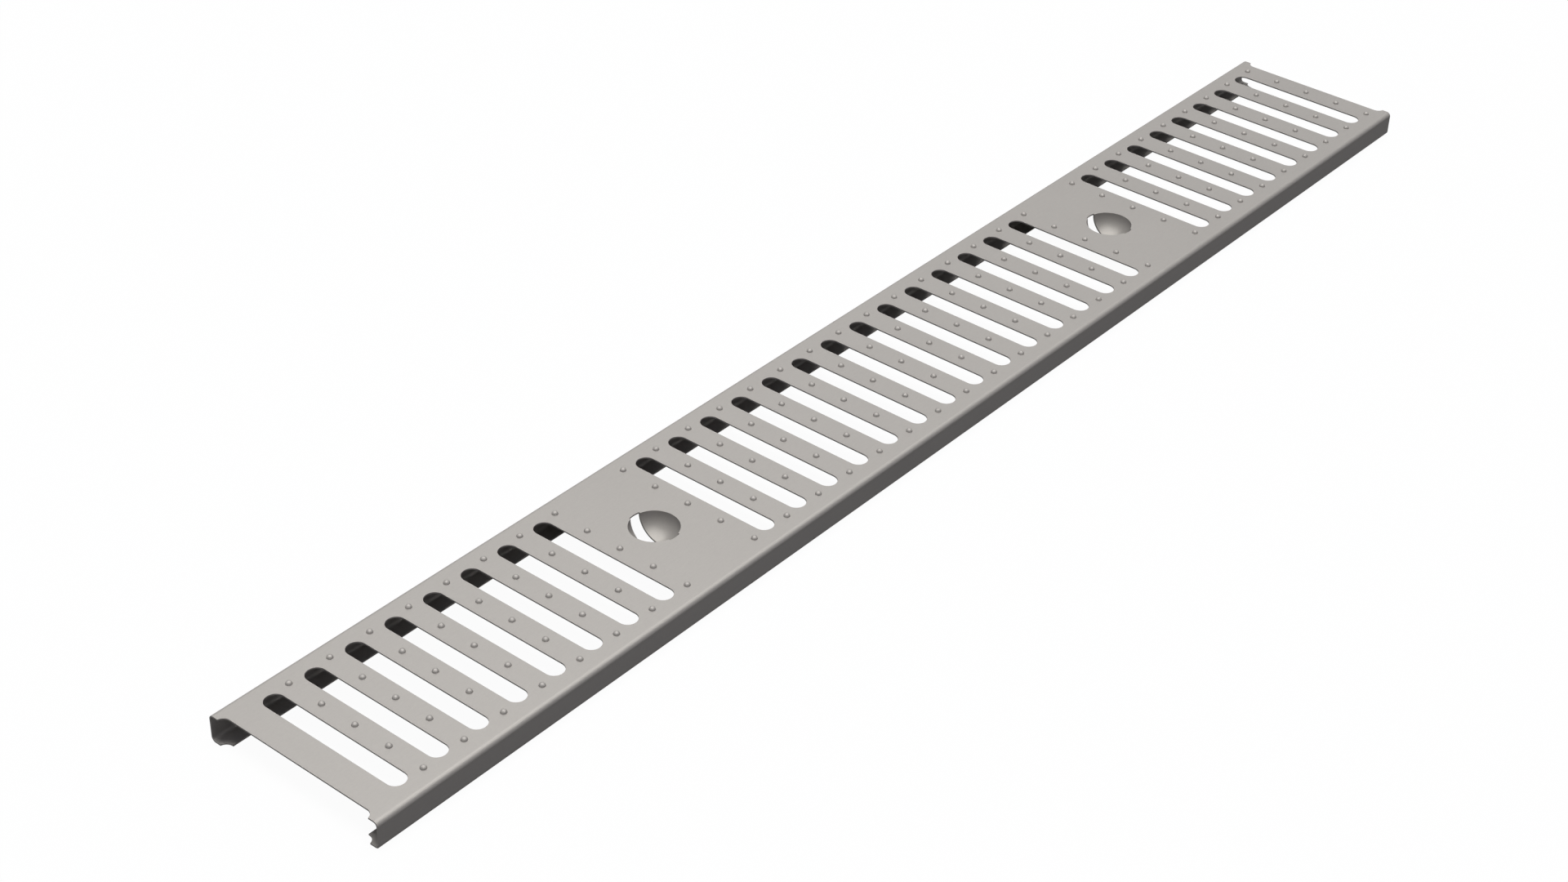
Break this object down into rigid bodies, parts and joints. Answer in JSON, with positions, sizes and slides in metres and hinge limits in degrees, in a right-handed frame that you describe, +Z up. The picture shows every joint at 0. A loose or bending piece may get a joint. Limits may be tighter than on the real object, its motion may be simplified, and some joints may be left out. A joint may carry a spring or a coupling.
{
  "type": "slotted drain grate",
  "caption": "Long stainless drain channel grate folded from one sheet, with cross slots, raised anti-slip dimples and two pressed bowls for locking bolts.",
  "frame": {"origin": "midway along and across the grate, level with the underside of its two lips, which it rests on", "axes": "+X along the grate from its near end to its far end, +Y across it, +Z up, out of the walked-on face"},
  "size_m": [1, 0.125, 0.0198],
  "materials": {
    "stainless_sheet": "fine rolled satin"
  },
  "bodies": {
    "root": {"grate_panel": "stainless_sheet"}
  },
  "joints": []
}
